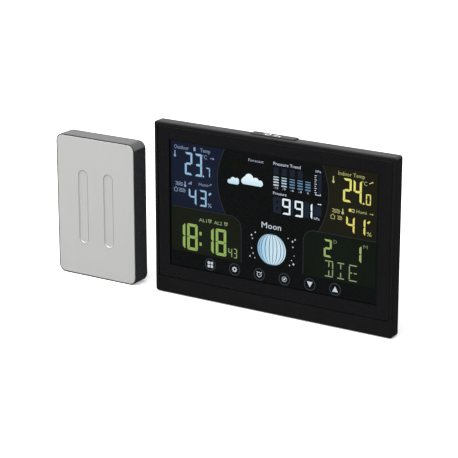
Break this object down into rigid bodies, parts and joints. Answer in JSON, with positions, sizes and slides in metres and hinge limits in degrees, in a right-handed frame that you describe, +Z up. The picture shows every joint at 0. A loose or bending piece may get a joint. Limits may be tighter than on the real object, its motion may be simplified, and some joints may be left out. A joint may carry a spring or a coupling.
{
  "type": "home weather station",
  "caption": "Desk weather station: a wide black console with a colour display, touch keys, top key and swing-out stand, and a silver-faced wireless outdoor sensor.",
  "frame": {"origin": "middle of the footprint of console, stand and sensor, on the table", "axes": "+Z up, +X to the viewer's right, -Y towards the viewer: both front faces look along -Y"},
  "size_m": [0.2618, 0.0594, 0.1202],
  "materials": {
    "housing_black": "fine satin moulded black",
    "lens_black": "polished smoked black",
    "display_glass": "dark polarised glass",
    "colour_film": "printed colour film",
    "clear_acrylic": "clear moulded acrylic",
    "white_plastic": "matt white",
    "foam_grey": "dark grey foam rubber",
    "board_green": "green solder mask",
    "part_black": "moulded black",
    "spring_steel": "bright drawn wire",
    "plated_contact": "nickel plated sheet",
    "copper_wire": "enamelled copper wire",
    "cell_sleeve": "printed shrink sleeve",
    "rubber_black": "matt black rubber",
    "sensor_silver": "satin silver, finely brushed",
    "sensor_black": "smooth satin black"
  },
  "bodies": {
    "console": {"front_bezel": "housing_black", "rear_cover": "housing_black", "front_lens": "lens_black", "display_glass": "display_glass", "colour_film": "colour_film", "light_guide": "clear_acrylic", "backlight_tray": "white_plastic", "led_strip": "white_plastic", "room_sensor": "white_plastic", "display_gasket": "foam_grey", "contact_strip": "foam_grey", "main_board": "board_green", "radio_module": "board_green", "main_chip": "part_black", "buzzer": "part_black", "power_jack": "part_black", "snooze_switch": "part_black", "stand_pin": "spring_steel", "case_screw_1": "spring_steel", "case_screw_2": "spring_steel", "case_screw_3": "spring_steel", "case_screw_4": "spring_steel", "touch_spring_1": "spring_steel", "touch_spring_2": "spring_steel", "touch_spring_3": "spring_steel", "touch_spring_4": "spring_steel", "touch_spring_5": "spring_steel", "touch_spring_6": "spring_steel", "console_cell_spring_1": "spring_steel", "console_cell_spring_2": "spring_steel", "console_cell_spring_3": "spring_steel", "console_contact_1": "plated_contact", "console_contact_2": "plated_contact", "console_contact_3": "plated_contact", "radio_antenna": "copper_wire", "console_cell_1": "cell_sleeve", "console_cell_2": "cell_sleeve", "console_cell_3": "cell_sleeve", "rubber_foot_left": "rubber_black", "rubber_foot_right": "rubber_black"},
    "snooze": {"snooze_key": "housing_black", "snooze_plunger": "white_plastic"},
    "stand": {"stand_foot": "housing_black"},
    "console_door": {"battery_door": "housing_black"},
    "outdoor_sensor": {"sensor_face_plate": "sensor_silver", "sensor_front_shell": "sensor_black", "sensor_seal": "rubber_black", "sensor_rear_shell": "sensor_black", "sensor_board": "board_green", "sensor_probe": "part_black", "sensor_cell_1": "cell_sleeve", "sensor_cell_2": "cell_sleeve", "sensor_cell_spring_1": "spring_steel", "sensor_cell_spring_2": "spring_steel", "sensor_contact_1": "plated_contact", "sensor_contact_2": "plated_contact"},
    "sensor_door": {"sensor_battery_door": "sensor_black", "sensor_door_screw": "spring_steel"},
    "pairing_button": {"tx_button": "white_plastic"},
    "channel_knob": {"channel_switch": "white_plastic"}
  },
  "joints": [
    {"name": "snooze_press", "type": "slide", "parent": "console", "child": "snooze", "axis": [0, 0, -1], "range_m": [0, 0.0008], "stiffness_N_per_m": 400, "springref_m": -0.001},
    {"name": "stand_fold", "type": "hinge", "parent": "console", "child": "stand", "pos_m": [0.04085, -0.00827, 0.00255], "axis": [1, 0, 0], "range_deg": [0, 90]},
    {"name": "battery_door_lift", "type": "slide", "parent": "console", "child": "console_door", "axis": [0, 1, 0], "range_m": [0, 0.03]},
    {"name": "sensor_lift", "type": "slide", "parent": "console", "child": "outdoor_sensor", "axis": [0, 0, 1], "range_m": [0, 0.12]},
    {"name": "sensor_door_lift", "type": "slide", "parent": "outdoor_sensor", "child": "sensor_door", "axis": [0, 1, 0], "range_m": [0, 0.03]},
    {"name": "pairing_press", "type": "slide", "parent": "outdoor_sensor", "child": "pairing_button", "axis": [0, -1, 0], "range_m": [0, 0.0005], "stiffness_N_per_m": 300, "springref_m": -0.0005},
    {"name": "channel_slide", "type": "slide", "parent": "outdoor_sensor", "child": "channel_knob", "axis": [1, 0, 0], "range_m": [0, 0.004]}
  ]
}
